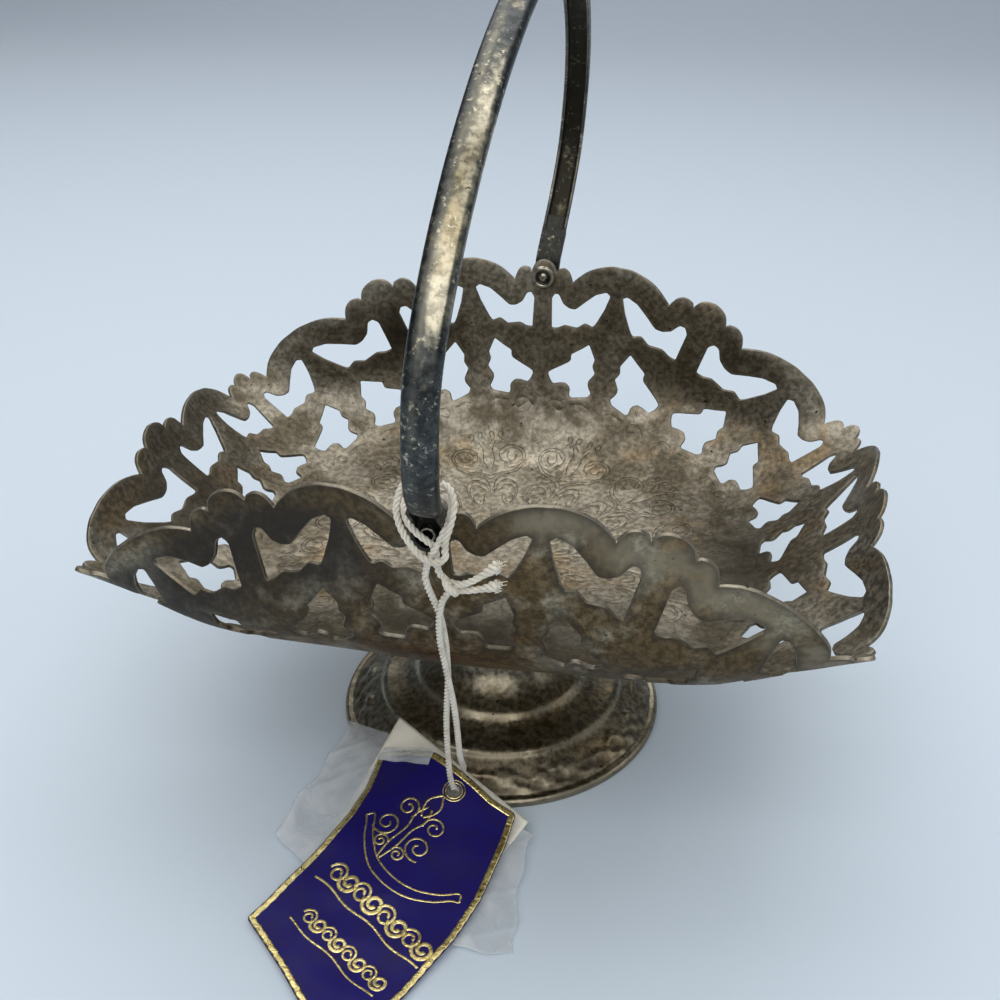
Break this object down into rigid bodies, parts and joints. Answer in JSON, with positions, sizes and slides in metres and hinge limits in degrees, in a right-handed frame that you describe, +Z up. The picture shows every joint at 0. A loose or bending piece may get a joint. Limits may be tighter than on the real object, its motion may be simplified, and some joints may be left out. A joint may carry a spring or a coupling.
{
  "type": "swing-handle basket",
  "caption": "Footed pierced sheet basket with raised flaps, an arched swing handle on tubular rivets, and a hang tag on a hitched string.",
  "frame": {"origin": "middle of the foot's rim, on the surface the basket stands on", "axes": "+Z up, +Y towards the far pivot along the handle's axis, +X towards the right wing"},
  "size_m": [0.2192, 0.2287, 0.2291],
  "materials": {
    "dish_plate": "worn, tarnished silver plate on sheet brass, engraved",
    "foot_plate": "worn, tarnished silver plate with brass showing on the high relief",
    "handle_plate": "dark blue-grey tarnish with bright worn flecks",
    "rivet_plate": "worn bright silver plate",
    "tag_print": "glossy navy print with gold edging",
    "tag_leaf": "matt cream card",
    "tag_film": "clear crumpled film",
    "string": "twisted cream cotton cord"
  },
  "bodies": {
    "basket": {"dish": "dish_plate", "foot": "foot_plate", "rivet_far": "rivet_plate", "rivet_near": "rivet_plate", "tag_card": "tag_print", "tag_back_leaf": "tag_leaf", "tag_film": "tag_film", "string_left": "string", "string_right": "string", "string_knot": "string", "string_tail_upper": "string", "string_tail_lower": "string"},
    "handle": {"handle": "handle_plate", "handle_end_near": "handle_plate", "handle_end_far": "handle_plate", "string_hitch": "string"}
  },
  "joints": [
    {"name": "handle_swing", "type": "hinge", "parent": "basket", "child": "handle", "pos_m": [0, 0, 0.116], "axis": [0, 1, 0], "range_deg": [-104, 92]}
  ]
}
